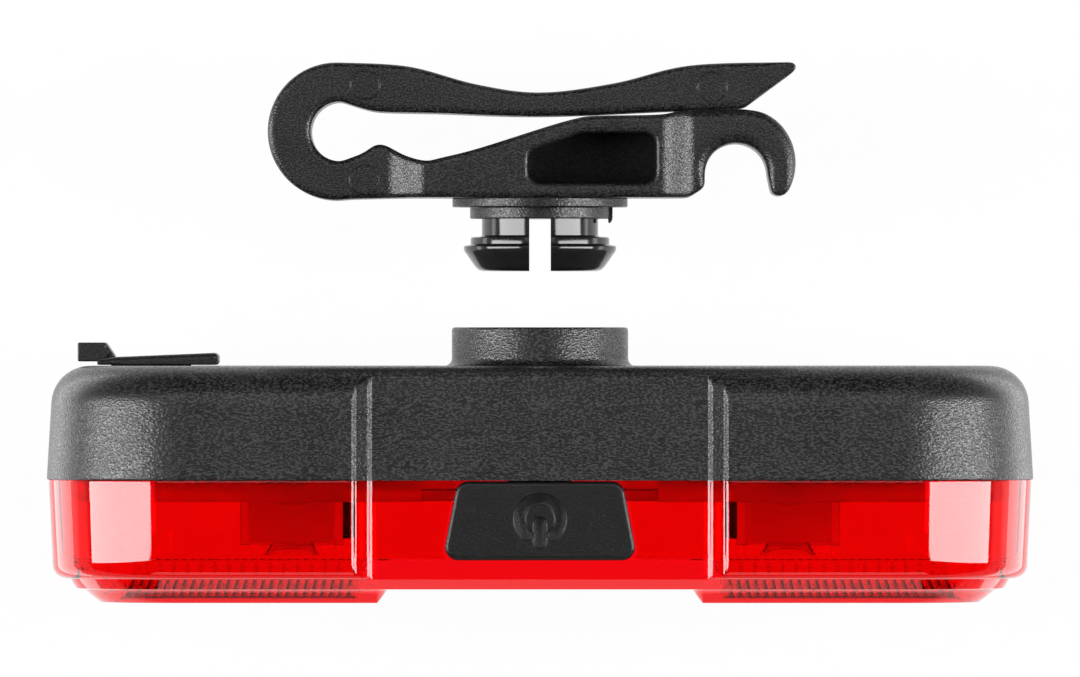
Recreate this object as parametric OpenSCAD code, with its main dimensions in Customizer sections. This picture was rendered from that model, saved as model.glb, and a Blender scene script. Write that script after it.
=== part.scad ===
// Clip-on bike rear light: a moulded housing and red lens with the electronics inside,
// and a spring clip whose plug snaps into the socket on the light's back.
// Origin: centre of the socket's mouth. +Y leaves the socket, the lens faces -Y, +Z is up.

/* [Light body] */
// Width across the seam
light_w = 92; // [86:1:110]
// Height across the seam
light_h = 38; // [36:1:46]
// Plan radius of the four corners
corner_r = 13; // [11:0.5:15]
// Depth from the back face to the seam
housing_d = 10.6; // [10.4:0.2:14]
// Depth from the seam to the lens shoulder
lens_d = 9.2; // [9:0.2:12]
// Height of the two lobes in front of the shoulder
lobe_d = 2.2; // [1.8:0.1:3]
// Height of the channel between the lobes in front of the shoulder
channel_d = 0.9; // [0.5:0.1:1.4]
// Draft of the housing sides, degrees
housing_draft = 3.4; // [1:0.2:4]
// Draft of the lens sides, degrees
lens_draft = 2.8; // [1:0.2:4]
// Round where the back meets the sides
back_edge_r = 3.6; // [2:0.2:4.4]
// Round of the lens shoulder
shoulder_r = 1.3; // [0.8:0.1:1.8]
// Thickness of the housing and lens walls
wall = 1.8; // [1.6:0.1:2.2]
// How far the lens sits inside the housing's edge
lens_inset = 0.15; // [0.05:0.05:0.3]
// Width of the waist recess floor
recess_w = 31.2; // [28:0.4:36]
// Width of each slanted side of the waist recess
recess_side = 1.8; // [1:0.1:2.5]
// Depth of the waist recess
recess_d = 1; // [0.6:0.1:1.3]

/* [Lens front] */
// Gap between the two lobes, at the channel
lobe_gap = 28.2; // [26:0.2:31]
// Flat ledge left between the shoulder round and a lobe's foot
lobe_ledge = 0.3; // [0.2:0.1:1]
// Slope of a lobe's rim, sideways
lobe_slope = 2.8; // [2:0.1:3.4]
// Slope of a lobe's inner end, sideways
lobe_end_slope = 1; // [0.5:0.1:1.6]
// Corner radius of a lobe's inner end
lobe_inner_r = 2.4; // [1.8:0.1:3]
// Thickness of a lobe's front
front_wall = 0.6; // [0.5:0.1:1.2]

/* [Socket and plug] */
// Diameter of the boss on the back
boss_od = 16.5; // [16:0.1:18]
// Height of the boss
boss_h = 3.6; // [3:0.1:5]
// Fillet round the boss foot
boss_fillet = 0.7; // [0.3:0.1:1.2]
// Plug flange diameter
flange_od = 16.4; // [15:0.1:17]
// Plug flange thickness
flange_t = 0.9; // [0.7:0.1:1.4]
// Plug collar diameter
collar_od = 13.1; // [12.6:0.1:13.4]
// Plug collar thickness
collar_t = 1.05; // [0.9:0.05:1.3]
// Plug neck diameter
neck_od = 10.9; // [10:0.1:11.2]
// Plug neck length
neck_l = 1.7; // [1.5:0.1:2.2]
// Plug head diameter at its widest
head_od = 14.3; // [13.8:0.1:14.4]
// Diameter of the ring at the top of the head
head_ring_od = 13; // [12.4:0.1:13.4]
// Diameter of the head's tip
head_tip_od = 11.6; // [10.8:0.1:12]
// Length of the head
head_l = 3.2; // [2.8:0.1:3.4]
// Slot that lets the two prongs spring
prong_slot = 2; // [1.4:0.1:2.6]
// Radial room round the collar
collar_room = 0.15; // [0.1:0.05:0.3]
// Radial room round the neck
neck_room = 0.25; // [0.15:0.05:0.35]
// Room round the head in the chamber, and end play of the plug
head_room = 0.3; // [0.2:0.05:0.35]
// Thickness of the chamber's wall and floor
cup_wall = 1.2; // [1:0.1:1.4]
// Width of the key tooth
key_w = 1.6; // [1.2:0.1:2]
// How far the key stands out of the collar
key_out = 0.25; // [0.15:0.05:0.3]
// Gap between the boss rim and the plug's flange as shown, clip taken off
clip_gap = 11.2; // [8:0.2:16]

/* [Clip] */
// Outer radius of the clip's loop
loop_or = 6.43; // [6:0.05:6.8]
// Radius of the hole in the loop
loop_ir = 2.81; // [2.4:0.05:3]
// Distance from the plug axis to the loop's centre
loop_x = 18.98; // [18:0.1:21]
// How far the loop hangs below the clip's underside
loop_drop = 0.25; // [0:0.05:0.5]
// Reach of the clip's nose from the plug axis
nose_x = 23.85; // [23:0.1:25]
// Width of the clip's arms
arm_w = 12; // [10:0.5:13]
// Width of the clip's middle block
block_w = 16; // [14.5:0.5:17]
// Gap left where the two arms close
arm_gap = 0.12; // [0.08:0.02:0.3]
// Radius of the hook's arch
arch_r = 2.93; // [2.6:0.05:3]
// Distance from the plug axis to the hook's arch
arch_x = 18.3; // [18:0.1:18.8]
// Web left between the two side pockets
pocket_web = 1.6; // [1.2:0.2:3]

/* [Button and switch] */
// Width of the button at the seam
button_top_w = 15.3; // [13:0.1:16]
// Width of the button at its front
button_low_w = 18.1; // [16:0.1:19]
// Length of the button
button_l = 7.3; // [6.6:0.1:7.4]
// Corner radius of the button
button_r = 1.2; // [0.8:0.1:1.8]
// Height of the button above the recess floor
button_proud = 0.35; // [0.1:0.05:0.6]
// Gap round the button
button_gap = 0.2; // [0.15:0.05:0.3]
// Button travel
button_travel = 0.5; // [0.3:0.05:0.6]
// Diameter of the switch plunger
plunger_d = 2.1; // [1.6:0.1:2.6]

/* [Charging port] */
// Distance from the plug axis to the port
port_x = 36.4; // [35.6:0.1:37]
// Width of the port's metal shell
port_w = 7.5; // [7.3:0.1:7.7]
// Height of the port's metal shell
port_t = 2.5; // [2.3:0.1:2.8]
// Room round the shell in its well
port_room = 0.35; // [0.25:0.05:0.4]
// Distance from the port's middle to the flap's hinge
hinge_reach = 5.9; // [5.7:0.1:6.4]
// Length of the flap from its hinge to its free end
flap_l = 10.8; // [10.6:0.1:11.4]
// Height of the flap on the back face
flap_t = 1; // [0.8:0.05:1.2]
// Width of the flap
flap_w = 9; // [8:0.5:11]
// Width of the flap's finger tab
tab_w = 6; // [4:0.5:7]
// Reach of the tab past the flap's free end
tab_out = 1.9; // [1.4:0.1:2.4]
// Height of the tab above the back face
tab_h = 2.2; // [1.8:0.1:2.6]

/* [Inside] */
// Room between the inner pieces and the walls
inner_room = 0.6; // [0.4:0.1:0.8]
// Board thickness
board_t = 1.2; // [1:0.1:1.6]
// Distance from the seam to the board's front face, into the housing
board_in = 0.4; // [0.2:0.1:0.6]
// Distance of each lamp from the middle
lamp_x = 23.2; // [22.4:0.2:26]
// Width of a lamp cup
cup_w = 9.6; // [9:0.2:11]
// Height of a lamp cup
cup_h = 11; // [9.6:0.2:13]
// Thickness of a lamp cup's wall
cup_t = 0.8; // [0.6:0.1:1]
// Radius of a collimator's front rim
collimator_r = 4.4; // [4.2:0.1:4.8]
// Thickness of a collimator's front rim
collimator_rim = 1; // [0.8:0.1:1.2]
// Sideways distance of the board screws from the middle
screw_x = 25; // [23:0.5:26]
// Screw diameter
screw_d = 2; // [1.8:0.1:2.2]
// Battery length
battery_l = 28; // [24:1:29]
// Battery width
battery_w = 20; // [16:1:21]
// Battery thickness
battery_t = 4.8; // [4:0.1:5]

/* [Hidden] */
$fn = 64;
hull_fn = 32;

charcoal = "#2f3033";
rubber_black = "#242527";
lens_red = "#d8000c";
reflex_red = "#b00010";
bezel_white = "#eceae4";
board_green = "#1e6b3c";
metal = "#c3c6c9";
chip_black = "#191a1c";
clear_white = "#dfe8ec";
cell_blue = "#8fa3b5";
foam_grey = "#6f7276";

// Planes along Y
y_back = -boss_h;
y_seam = y_back - housing_d;
y_shoulder = y_seam - lens_d;
y_front = y_shoulder - lobe_d;
y_roof = y_back - wall;
y_board_front = y_seam + board_in;
y_board_back = y_board_front + board_t;

// Plan half sizes at the seam
half_w = light_w / 2;
half_h = light_h / 2;
cavity_w = half_w - wall;
cavity_h = half_h - recess_d - wall;
cavity_r = corner_r - wall;
rabbet = wall - 1;
tongue_t = rabbet - 0.1;
tongue_l = 1;
rabbet_l = tongue_l + 0.4;

// Socket and plug, along the plug's axis from the seat face
collar_bore_r = collar_od / 2 + collar_room;
lip_r = neck_od / 2 + neck_room;
chamber_r = head_od / 2 + head_room;
lip_top = -collar_t - 0.1;
lip_low = -collar_t - neck_l + 0.1;
plug_tip = -collar_t - neck_l - head_l;
chamber_low = plug_tip - head_room;
key_depth = 0.43;

// Clip, measured from the seat face
loop_y = flange_t + loop_or - loop_drop;
arch_y = flange_t + 2.15;
hole_shift = 0.38;
pinch_slope = 0.04;

// Lens front
lens_w = half_w - lens_inset;
lens_h = half_h - lens_inset;
lens_pull = lens_d * tan(lens_draft);
lobe_foot_w = lens_w - lens_pull - shoulder_r - lobe_ledge;
lobe_foot_h = lens_h - lens_pull - shoulder_r - lobe_ledge;
lobe_foot_r = corner_r - lens_inset - lens_pull - shoulder_r - lobe_ledge;
y_lens_roof = y_shoulder + wall;

// Button and switch
z_floor = lens_h - recess_d;
flange_top = cavity_h - 0.5;
button_flange_t = 0.8;
button_flange_out = 0.9;
button_y = y_seam - 0.1;
stem_d = 3.4;
plunger_y = y_seam - 3.8;
plunger_top = flange_top - button_flange_t - button_travel - 0.6;
switch_top = plunger_top - button_travel - 1;
switch_w = 6;
switch_z = 4;
switch_y = 6.2;

// Port
well_w = port_w / 2 + port_room;
well_t = port_t / 2 + port_room;
chimney_wall = 0.8;
chimney_l = 1.6;
y_chimney = y_roof - chimney_l;
y_port_top = y_chimney + 1;
flap_hinge_x = port_x - hinge_reach;
flap_pin_r = 0.45;
flap_lift = 0.05;
anchor_w = 7;

// Points on an arc, from angle a to angle b
function arc(c, r, a, b, n = 6) =
  [for (i = [0:n]) let(t = a + (b - a) * i / n) c + r * [cos(t), sin(t)]];

// A smooth run through the given points
function between(p, q, s, u, t) =
  0.5 * (2 * q + (s - p) * t + (2 * p - 5 * q + 4 * s - u) * t * t + (3 * q - p - 3 * s + u) * t * t * t);
function smooth(pts, n = 5) = concat(
  [for (i = [0:len(pts) - 2], k = [0:n - 1])
    between(pts[max(i - 1, 0)], pts[i], pts[i + 1], pts[min(i + 2, len(pts) - 1)], k / n)],
  [pts[len(pts) - 1]]);

// Ease from 0 to 1 as x goes from a to b
function ease(x, a, b) = let(t = max(0, min(1, (x - a) / (b - a)))) t * t * (3 - 2 * t);

// Half profile of a drafted puck with one rounded edge and a straight foot, radius against height
function puck(r, depth, draft, edge, foot) =
  let(c = [r - tan(draft) * (depth - edge) - edge / cos(draft), depth - edge])
  concat([[0, -foot], [r, -foot]], foot > 0 ? [[r, 0]] : [], arc(c, edge, draft, 90, 5), [[0, depth]]);

// Stand a shape drawn along +Z up along +Y, from height y
module along_y(y = 0) {
  translate([0, y, 0]) rotate([-90, 0, 0]) children();
}

// Stand a shape drawn along +Z so that it runs along -Y, from height y
module along_minus_y(y = 0) {
  translate([0, y, 0]) rotate([90, 0, 0]) children();
}

// Rounded plate outline
module plate_2d(w, h, r) {
  hull() for (x = [-1, 1], z = [-1, 1])
    translate([x * (w - r), z * (h - r)]) circle(r = r, $fn = hull_fn);
}

// Rounded plate of the given half sizes, from y0 to y1
module plate(w, h, r, y0, y1) {
  along_y(y0) linear_extrude(y1 - y0) plate_2d(w, h, r);
}

// Drafted rounded body: four revolved corners drawn together
module drafted(w, h, r, depth, draft, edge, foot = 0) {
  hull() for (x = [-1, 1], z = [-1, 1])
    translate([x * (w - r), z * (h - r), 0]) rotate_extrude($fn = hull_fn)
      polygon(puck(r, depth, draft, edge, foot));
}

// The waist recess on both broad sides, as two prisms that follow the draft
module waist(h, depth, draft) {
  for (z = [0, 1]) mirror([0, z, 0]) translate([0, h, 0]) rotate([draft, 0, 0])
    translate([0, 0, -1]) linear_extrude(depth + 3)
      polygon([
        [-recess_w / 2, -recess_d], [recess_w / 2, -recess_d],
        [recess_w / 2 + 2 * recess_side, recess_d], [-recess_w / 2 - 2 * recess_side, recess_d]]);
}

screw_z = cavity_h - 3;
screw_spots = [for (x = [-1, 1], z = [-1, 1]) [x * screw_x, z * screw_z]];
post_r = screw_d / 2 + 1.3;

// The boss with its foot fillet, down into the back wall
module boss() {
  along_y(0) rotate_extrude() polygon(concat(
    [[0, 0], [boss_od / 2 - 0.2, 0], [boss_od / 2, -0.2]],
    arc([boss_od / 2 + boss_fillet, y_back + boss_fillet - 0.02], boss_fillet, 180, 270, 4),
    [[boss_od / 2 + boss_fillet, y_back - wall / 2], [0, y_back - wall / 2]]));
}

// The stepped socket: collar bore, lip and head chamber
module socket_cut() {
  along_y(0) rotate_extrude() polygon([
    [0, 1], [collar_bore_r, 1], [collar_bore_r, lip_top], [lip_r, lip_top], [lip_r, lip_low],
    [chamber_r, lip_low], [chamber_r, chamber_low], [0, chamber_low]]);
  for (a = [0:90:270]) rotate([0, a, 0])
    translate([0, lip_top - key_depth - 0.1, -key_w / 2 - collar_room])
      cube([collar_bore_r + key_out + 0.1, 1 - lip_top + key_depth, key_w + 2 * collar_room]);
}

module rear_housing() {
  color(charcoal) difference() {
    union() {
      difference() {
        along_y(y_seam) drafted(half_w, half_h, corner_r, housing_d, housing_draft, back_edge_r);
        along_y(y_seam)
          drafted(cavity_w, cavity_h, cavity_r, housing_d - wall, housing_draft, back_edge_r - wall, 1);
        plate(cavity_w + rabbet, cavity_h + rabbet, cavity_r + rabbet, y_seam - 1, y_seam + rabbet_l);
      }
      boss();
      along_minus_y(y_back - wall / 2)
        cylinder(r = chamber_r + cup_wall, h = y_back - wall / 2 - chamber_low + cup_wall);
      for (p = screw_spots) translate([p.x, y_board_back, p.y])
        along_y() cylinder(r = post_r, h = y_roof - y_board_back + wall / 2);
      translate([-port_x - well_w - chimney_wall, y_chimney, -well_t - chimney_wall])
        cube([2 * (well_w + chimney_wall), chimney_l + wall / 2, 2 * (well_t + chimney_wall)]);
    }
    along_y(y_seam) waist(half_h, housing_d, housing_draft);
    socket_cut();
    for (p = screw_spots) translate([p.x, y_board_back - 1, p.y]) along_y() cylinder(d = screw_d, h = 6);
    translate([-port_x - well_w, y_chimney - 1, -well_t])
      cube([2 * well_w, chimney_l + wall + 2, 2 * well_t]);
    translate([-flap_hinge_x - 0.6, y_roof - 1, -anchor_w / 2]) cube([1.2, wall + 2, anchor_w]);
  }
}

// Corner rounds of a lobe's outline: pulled in by rim on three sides and by end at the inner end
module lobe_corners(g, rim, end, tall) {
  out_r = lobe_foot_r + g - rim;
  in_r = lobe_inner_r - end;
  for (z = [-1, 1]) {
    translate([lobe_foot_w + g - rim - out_r, z * (lobe_foot_h + g - rim - out_r), 0])
      cylinder(r = out_r, h = tall, $fn = hull_fn);
    translate([lobe_gap / 2 - g + end + in_r, z * (lobe_foot_h + g - rim - in_r), 0])
      cylinder(r = in_r, h = tall, $fn = hull_fn);
  }
}

// One raised lobe of the lens front, grown by g, with its foot at y and a root sunk above the foot
module lobe(g, y, sink) {
  front_rim = 0.2;
  along_minus_y(y + sink) hull() {
    lobe_corners(g, 0, 0, sink);
    translate([0, 0, sink + lobe_d - front_rim]) lobe_corners(g, lobe_slope, lobe_end_slope, front_rim);
  }
}

// The button's outline seen along -Z, grown by g, from the seam towards the lens front
module button_2d(g) {
  offset(r = button_r + g, $fn = hull_fn) offset(delta = -button_r) polygon([
    [-button_top_w / 2, button_y], [button_top_w / 2, button_y],
    [button_low_w / 2, button_y - button_l], [-button_low_w / 2, button_y - button_l]]);
}

module lens() {
  color(lens_red, 0.6) difference() {
    union() {
      difference() {
        union() {
          along_minus_y(y_seam)
            drafted(lens_w, lens_h, corner_r - lens_inset, lens_d, lens_draft, shoulder_r);
          for (m = [0, 1]) mirror([m, 0, 0]) lobe(0, y_shoulder, 0.3);
          translate([-lobe_gap / 2 - lobe_end_slope, y_shoulder - channel_d, -lobe_foot_h + channel_d])
            cube([lobe_gap + 2 * lobe_end_slope, channel_d + wall / 2, 2 * (lobe_foot_h - channel_d)]);
        }
        along_minus_y(y_seam) waist(lens_h, lens_d + lobe_d, lens_draft);
      }
      plate(cavity_w + tongue_t, cavity_h + tongue_t, cavity_r + tongue_t, y_seam - wall, y_seam + tongue_l);
    }
    along_minus_y(y_seam) drafted(cavity_w, cavity_h, cavity_r, lens_d - wall, lens_draft, 0.5, tongue_l + 1);
    for (m = [0, 1]) mirror([m, 0, 0]) lobe(-wall, y_shoulder + front_wall, wall);
    linear_extrude(half_h + 1) {
      button_2d(button_gap);
      translate([-button_top_w / 2 - button_gap, y_seam - button_r - 1])
        square([button_top_w + 2 * button_gap, tongue_l + button_r + 2]);
    }
  }
}

module lens_seal() {
  color(rubber_black) difference() {
    plate(cavity_w + tongue_t, cavity_h + tongue_t, cavity_r + tongue_t,
      y_seam + tongue_l, y_seam + rabbet_l);
    plate(cavity_w + 0.1, cavity_h + 0.1, cavity_r + 0.1, y_seam, y_seam + rabbet_l + 1);
  }
}

board_w = cavity_w - inner_room;
board_h = cavity_h - inner_room;
board_r = cavity_r - inner_room;
bezel_t = 1;
bezel_skirt = 1.4;
y_bezel = y_board_front - bezel_skirt - bezel_t;

module inner_bezel() {
  color(bezel_white) difference() {
    plate(board_w, board_h, board_r, y_bezel, y_board_front);
    plate(board_w - bezel_t, board_h - bezel_t, board_r - bezel_t, y_bezel + bezel_t, y_board_front + 1);
    for (x = [-1, 1]) translate([x * lamp_x, 0, 0])
      along_minus_y(y_board_front) cylinder(r = collimator_foot_r + 1.6, h = bezel_skirt + bezel_t + 1);
    for (p = screw_spots) translate([p.x, y_board_front + 1, p.y])
      along_minus_y() cylinder(r = screw_head_r + 0.3, h = bezel_skirt + 1);
    translate([-button_low_w / 2 - button_flange_out - 1, y_bezel - 1, switch_top - switch_z - 1])
      cube([button_low_w + 2 * button_flange_out + 2, bezel_skirt + bezel_t + 2, board_h]);
  }
}

module circuit_board() {
  color(board_green) difference() {
    plate(board_w, board_h, board_r, y_board_front, y_board_back);
    for (p = screw_spots) translate([p.x, y_board_front - 1, p.y])
      along_y() cylinder(d = screw_d + 0.2, h = board_t + 2);
  }
}

screw_head_r = 1.9;
screw_head_h = 1.1;

module board_screws() {
  color(metal) for (p = screw_spots) translate([p.x, y_board_front, p.y]) {
    difference() {
      along_minus_y() cylinder(r1 = screw_head_r, r2 = screw_head_r - 0.4, h = screw_head_h);
      for (a = [0, 90]) rotate([0, a, 0]) translate([-1, -screw_head_h - 0.1, -0.2]) cube([2, 0.6, 0.4]);
    }
    along_y() cylinder(d = screw_d - 0.1, h = board_t + 4);
  }
}

led_w = 3.5;
led_t = 0.8;
led_dome_r = 1.35;

module led(side) {
  translate([side * lamp_x, y_board_front, 0]) {
    translate([-led_w / 2, -led_t, -led_w / 2]) cube([led_w, led_t, led_w]);
    intersection() {
      translate([0, -led_t, 0]) sphere(r = led_dome_r);
      translate([-led_w / 2, -led_t - led_w, -led_w / 2]) cube([led_w, led_w, led_w]);
    }
  }
}

module led_left() {
  color(clear_white) led(-1);
}

module led_right() {
  color(clear_white) led(1);
}

collimator_foot_r = 3.3;
collimator_bore_r = 2.6;
collimator_end = y_lens_roof + 0.2;
cup_front = collimator_end + collimator_rim;
cup_back = y_bezel;

// A white box that shades the lamp from the sides, standing on the bezel
module lamp_cup(side) {
  translate([side * lamp_x - cup_w / 2, cup_front, -cup_h / 2]) difference() {
    cube([cup_w, cup_back - cup_front, cup_h]);
    translate([cup_t, -1, cup_t]) cube([cup_w - 2 * cup_t, cup_back - cup_front + 2, cup_h - 2 * cup_t]);
  }
}

module lamp_cup_left() {
  color(bezel_white) lamp_cup(-1);
}

module lamp_cup_right() {
  color(bezel_white) lamp_cup(1);
}

ear_w = 2;
ear_l = cup_h / 2 - collimator_r + 0.4;

// A conical light guide: foot ring on the board, flared body, rimmed front with a dish, ears on the cup
module collimator(side) {
  tall = y_board_front - collimator_end;
  flare_r = collimator_r - 0.6;
  translate([side * lamp_x, y_board_front, 0]) {
    along_minus_y() rotate_extrude() polygon(concat(
      [[collimator_bore_r, 0], [collimator_foot_r, 0], [collimator_foot_r, 1.4]],
      [[flare_r, tall - collimator_rim], [collimator_r, tall - collimator_rim], [collimator_r, tall],
        [2.4, tall], [1.8, tall - 1.2], [0, tall - 1.2], [0, 3], [collimator_bore_r, 2.4]]));
    for (m = [0, 1]) mirror([0, 0, m]) translate([-ear_w / 2, -tall, cup_h / 2 - ear_l])
      cube([ear_w, collimator_rim, ear_l]);
  }
}

module collimator_left() {
  color(clear_white) collimator(-1);
}

module collimator_right() {
  color(clear_white) collimator(1);
}

prism_pitch = 2.4;
prism_depth = 0.5;
prism_t = 1.4;
prism_corner = 6;

// Reflex plate behind a lobe's front, ridged at its back, with a window for the lamp
module prism_plate(side) {
  y0 = y_front + front_wall;
  x_in = lobe_gap / 2 + wall + lobe_end_slope + 0.3;
  x_out = lobe_foot_w - wall - lobe_slope - 0.3;
  z_end = lobe_foot_h - wall - lobe_slope - 1;
  rows = floor((z_end * 2 - 1) / prism_pitch);
  mirror([side < 0 ? 1 : 0, 0, 0]) difference() {
    translate([x_in, y0, -z_end]) cube([x_out - x_in, prism_t, 2 * z_end]);
    for (i = [0:rows - 1]) translate([x_in - 1, y0 + prism_t, (i - (rows - 1) / 2) * prism_pitch])
      rotate([45, 0, 0]) translate([0, -prism_depth / 2, -prism_depth / 2])
        cube([x_out - x_in + 2, prism_depth, prism_depth]);
    for (z = [-1, 1]) translate([x_out, y0 - 1, z * z_end]) rotate([0, 45, 0])
      translate([-prism_corner / 2, 0, -prism_corner / 2]) cube([prism_corner, prism_t + 2, prism_corner]);
    translate([lamp_x, y0 - 1, 0]) along_y() cylinder(r = collimator_r - 0.4, h = prism_t + 2);
  }
}

module prism_plate_left() {
  color(reflex_red) prism_plate(-1);
}

module prism_plate_right() {
  color(reflex_red) prism_plate(1);
}

battery_x = 11;
pad_t = y_roof - y_board_back - battery_t - 1.2;

module battery_cell() {
  color(cell_blue) translate([battery_x + battery_l / 2, 0, 0])
    plate(battery_l / 2, battery_w / 2, 1.5, y_roof - pad_t - battery_t, y_roof - pad_t);
}

module battery_pad() {
  color(foam_grey) translate([battery_x + battery_l / 2, 0, 0])
    plate(battery_l / 2 - 2, battery_w / 2 - 2, 1, y_roof - pad_t, y_roof);
}

tab_strip_w = 3;
tab_strip_t = 0.3;
tab_reach = 1.2;

// Two nickel strips from the cell's end down to the board
module battery_tabs() {
  y_mid = y_roof - pad_t - battery_t / 2;
  color(metal) for (z = [-1, 1]) translate([0, 0, z * battery_w / 4]) {
    translate([battery_x - tab_reach, y_mid, -tab_strip_w / 2]) cube([tab_reach, tab_strip_t, tab_strip_w]);
    translate([battery_x - tab_reach - tab_strip_t, y_board_back, -tab_strip_w / 2])
      cube([tab_strip_t, y_mid + tab_strip_t - y_board_back, tab_strip_w]);
  }
}

shell_t = 0.3;

module usb_socket_shell() {
  color(metal) translate([-port_x, 0, 0]) difference() {
    plate(port_w / 2, port_t / 2, 0.6, y_board_back, y_port_top);
    plate(port_w / 2 - shell_t, port_t / 2 - shell_t, 0.4, y_board_back + 1, y_port_top + 1);
  }
}

module usb_socket_tongue() {
  color(chip_black) translate([-port_x - port_w / 2 + 1.9, y_board_back + 1, -0.35])
    cube([port_w - 3.8, y_port_top - y_board_back - 2, 0.7]);
}

module tact_switch_body() {
  color(chip_black) difference() {
    translate([-switch_w / 2, y_board_front - switch_y, switch_top - switch_z])
      cube([switch_w, switch_y, switch_z]);
    translate([0, plunger_y, switch_top - 1.8]) cylinder(d = plunger_d + 0.2, h = 3);
    for (x = [-1, 1]) translate([x * switch_w / 2, y_board_front - switch_y - 1, switch_top])
      rotate([0, 45, 0]) translate([-0.4, 0, -0.4]) cube([0.8, switch_y + 2, 0.8]);
  }
}

controller_w = 5;
controller_t = 0.9;
controller_x = -battery_x - 3;

module controller_chip() {
  color(chip_black) translate([controller_x, y_board_back, -controller_w / 2])
    cube([controller_w, controller_t, controller_w]);
}

charge_led_w = 1.6;
charge_led_t = 0.7;

module charge_led() {
  color(clear_white) translate([lobe_gap / 2, y_board_front - charge_led_t, switch_top - charge_led_t])
    cube([charge_led_w, charge_led_t, charge_led_t]);
}

chip_l = 1.6;
chip_w = 0.8;
chip_h = 0.6;
chip_step = 3.4;
chip_count = 6;
chip_row = 7;

// Small parts in two rows on the board's back
module chip_parts() {
  color("#8a6f4d") for (i = [0:chip_count - 1], z = [-1, 1])
    translate([-port_x + port_w + i * chip_step, y_board_back, z * chip_row - chip_w / 2])
      cube([chip_l, chip_h, chip_w]);
}

// The rubber strip that holds the flap, pushed through the back wall and hooked behind it
module port_anchor() {
  color(rubber_black) {
    translate([-flap_hinge_x - 0.5, y_roof - 1, -anchor_w / 2 + 0.1]) cube([1, wall + 1, anchor_w - 0.2]);
    translate([-flap_hinge_x - 0.5, y_roof - 1, -anchor_w / 2 + 0.1]) cube([1.8, 0.9, anchor_w - 0.2]);
  }
}

module power_button() {
  color(rubber_black) {
    intersection() {
      translate([0, 0, flange_top - 0.01]) linear_extrude(half_h) button_2d(0);
      along_minus_y(y_seam) translate([0, z_floor + button_proud, 0]) rotate([lens_draft, 0, 0])
        translate([-half_w, -half_h, -5]) cube([light_w, half_h, lens_d + 10]);
    }
    translate([0, 0, flange_top - button_flange_t]) linear_extrude(button_flange_t) polygon([
      [-button_top_w / 2 - button_flange_out, button_y - 0.3],
      [button_top_w / 2 + button_flange_out, button_y - 0.3],
      [button_low_w / 2 + button_flange_out, y_lens_roof + inner_room],
      [-button_low_w / 2 - button_flange_out, y_lens_roof + inner_room]]);
    translate([0, plunger_y, plunger_top + 0.05]) cylinder(d = stem_d, h = flange_top - plunger_top - 0.1);
  }
}

module switch_plunger() {
  color(clear_white) translate([0, plunger_y, switch_top - 1])
    cylinder(d = plunger_d, h = plunger_top - switch_top + 1);
}

// The flap in its closed place: plate, hinge roll, plug and raised finger tab
module port_cover() {
  free = -flap_hinge_x - flap_l;
  plug_room = 0.3;
  color(rubber_black) {
    translate([free, y_back + flap_lift, -flap_w / 2]) cube([flap_l, flap_t - flap_lift, flap_w]);
    translate([-flap_hinge_x, y_back + flap_lift + flap_pin_r, -flap_w / 2])
      cylinder(r = flap_pin_r, h = flap_w);
    translate([-port_x - well_w + plug_room, y_back - wall + 0.2, -well_t + plug_room])
      cube([2 * (well_w - plug_room), wall, 2 * (well_t - plug_room)]);
    translate([0, 0, -tab_w / 2]) linear_extrude(tab_w) polygon([
      [free - tab_out, y_back + flap_lift + 0.4], [free - tab_out, y_back + tab_h],
      [free + 0.7, y_back + tab_h], [free + 1.6, y_back + flap_t - 0.1],
      [free + 0.1, y_back + flap_lift + 0.4]]);
  }
}

// Half width of the clip at x: arms at both ends, the wider block between
function clip_half(x) = arm_w / 2 + (block_w - arm_w) / 2 * (ease(x, -14.3, -10.6) - ease(x, 11.5, 13.9));

// Height of the closing line between the two arms
function pinch_y(x) = loop_y + 1.45 + pinch_slope * x;

module clip_ring() {
  difference() {
    translate([-loop_x, loop_y]) circle(r = loop_or);
    translate([-loop_x + hole_shift, loop_y]) circle(r = loop_ir);
  }
}

module clip_base_2d() {
  hole_x = -loop_x + hole_shift;
  top = smooth([
    [hole_x, loop_y - loop_ir], [-16.6, loop_y - 2.06], [-14.9, loop_y - 1.19], [-12.6, loop_y - 2.25],
    [-10.7, loop_y - 2.76], [-9.3, loop_y - 2.5], [-5.7, loop_y - 1.6], [1, loop_y + 0.52],
    [3.6, loop_y + 1.22], [5.2, loop_y + 1.42],
    [11, pinch_y(11) - 3 * arm_gap], [12.6, pinch_y(12.6) - arm_gap]]);
  nose = smooth([
    [18.8, pinch_y(18.8) - arm_gap], [20.8, loop_y + 1.75], [22.4, loop_y + 0.7],
    [nose_x - 0.4, loop_y - 0.9], [nose_x, loop_y - 2.6],
    [nose_x - 0.15, flange_t + 1.9], [nose_x - 0.7, flange_t + 0.5]]);
  intersection() {
    clip_ring();
    translate([-loop_x - loop_or - 1, loop_y - loop_or - 1]) square([loop_or + 2, loop_or + 1]);
  }
  polygon(concat(
    top, nose, [[arch_x + arch_r + 1.3, flange_t + 0.1], [arch_x + arch_r + 0.4, flange_t + 0.3]],
    arc([arch_x, arch_y], arch_r, 0, 180, 14),
    [[arch_x - arch_r, flange_t + 0.95], [arch_x - arch_r - 1.5, flange_t], [-12, flange_t],
      [-loop_x + 1.5, loop_y - loop_or + 0.12], [-loop_x, loop_y - loop_or]]));
}

// Outline of the side pocket, slanted at its upper left
module pocket_2d() {
  offset(r = 0.8, $fn = hull_fn) offset(delta = -0.8) polygon([
    [-1.1, flange_t + 1.3], [10.8, flange_t + 1.3], [10.8, loop_y - 0.1],
    [4, loop_y - 0.1], [-1.1, loop_y - 1.9]]);
}

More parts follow.
